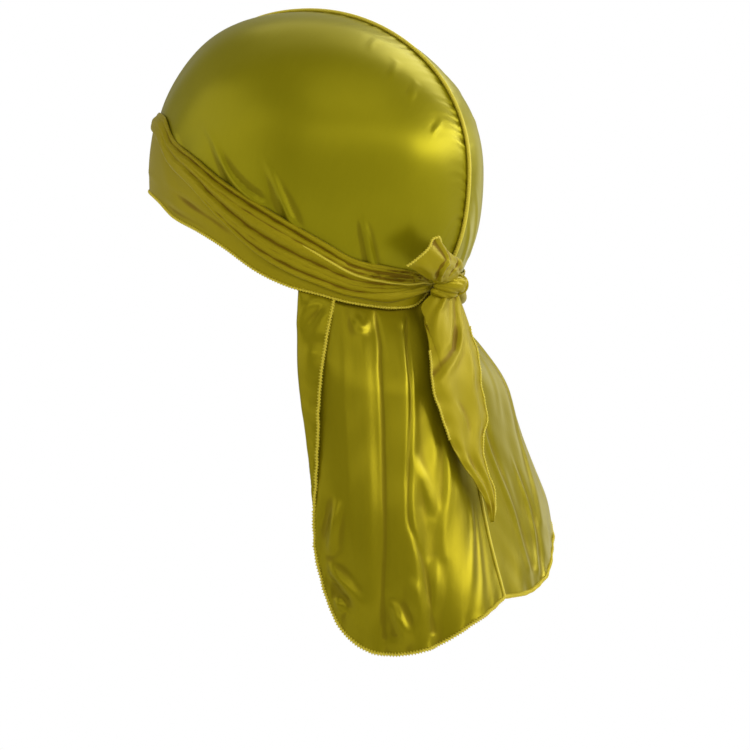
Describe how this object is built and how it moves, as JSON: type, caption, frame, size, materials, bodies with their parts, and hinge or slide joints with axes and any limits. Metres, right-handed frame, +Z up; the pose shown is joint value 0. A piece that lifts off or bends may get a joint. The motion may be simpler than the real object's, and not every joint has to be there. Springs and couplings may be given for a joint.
{
  "type": "durag",
  "caption": "Satin durag in its worn form: seamed two-panel dome, crossed head wraps knotted at the nape, free strap ends and a folded neck tail.",
  "frame": {"origin": "where the vertex of the head meets the inside of the crown", "axes": "+Z up, the face looks along -Y, the wearer's left is +X"},
  "size_m": [0.1893, 0.2209, 0.3491],
  "materials": {
    "satin": "satin",
    "overlock": "matte"
  },
  "bodies": {
    "root": {"crown_left": "satin", "crown_right": "satin", "centre_seam": "overlock", "brow_band": "satin", "upper_wrap": "satin", "knot": "satin", "strap_end_short": "satin", "strap_end_long": "satin", "tail_left": "satin", "tail_right": "satin", "tail_seam": "overlock"}
  },
  "joints": []
}
